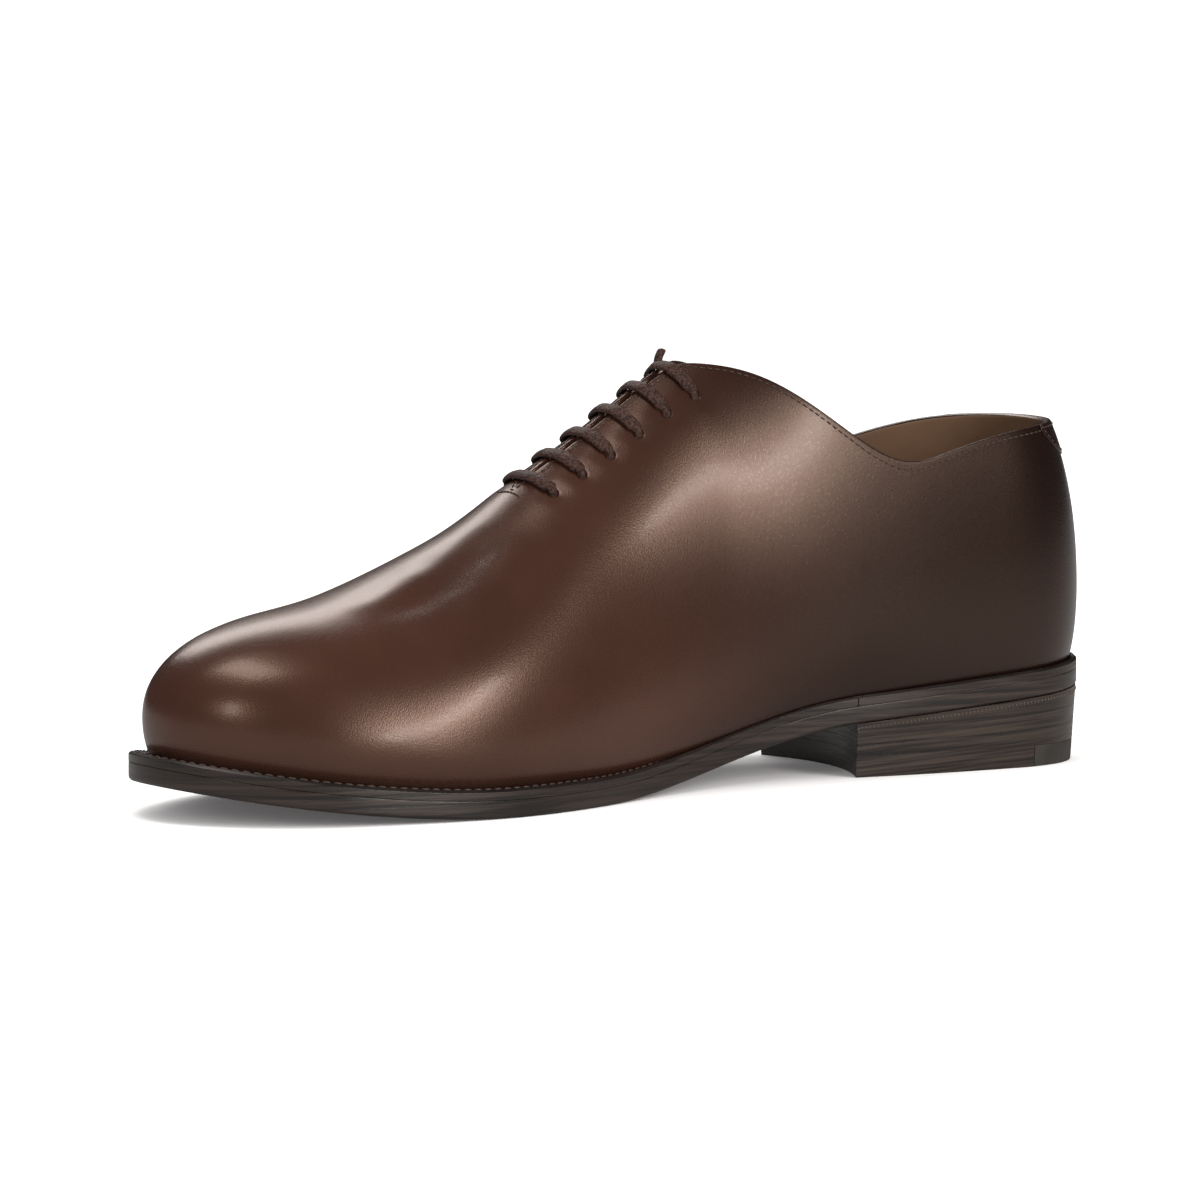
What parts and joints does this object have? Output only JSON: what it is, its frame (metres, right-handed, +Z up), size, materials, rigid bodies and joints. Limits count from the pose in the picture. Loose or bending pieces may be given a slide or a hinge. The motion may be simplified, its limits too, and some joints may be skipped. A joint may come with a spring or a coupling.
{
  "type": "whole cut oxford shoe",
  "caption": "Laced leather dress shoe with a seamless hollow upper, welted leather sole with toe spring and a stacked heel with a hollowed front.",
  "frame": {"origin": "on the floor, under the middle of the shoe's outline", "axes": "+Z up, +X from the heel to the toe, +Y to the inner side of the foot"},
  "size_m": [0.3038, 0.106, 0.1211],
  "materials": {
    "calf": "polished",
    "lining": "matt",
    "sole_leather": "polished",
    "edge": "burnished",
    "stack": "burnished",
    "rubber": "matt",
    "brass": "satin",
    "lace": "waxed"
  },
  "bodies": {
    "root": {"upper": "calf", "heel_strip": "calf", "tongue": "calf", "insole": "lining", "outsole": "sole_leather", "welt": "edge", "rand": "edge", "heel_lift_1": "stack", "heel_lift_2": "stack", "heel_lift_3": "stack", "top_piece_leather": "sole_leather", "top_piece_rubber": "rubber", "brass_pin_01": "brass", "brass_pin_02": "brass", "brass_pin_03": "brass", "brass_pin_04": "brass", "brass_pin_05": "brass", "brass_pin_06": "brass", "brass_pin_07": "brass", "brass_pin_08": "brass", "brass_pin_09": "brass", "brass_pin_10": "brass", "brass_pin_11": "brass", "brass_pin_12": "brass", "brass_pin_13": "brass", "brass_pin_14": "brass", "brass_pin_15": "brass", "lace_bar_1": "lace", "lace_bar_2": "lace", "lace_bar_3": "lace", "lace_bar_4": "lace", "lace_bar_5": "lace", "lace_bar_6": "lace"}
  },
  "joints": []
}
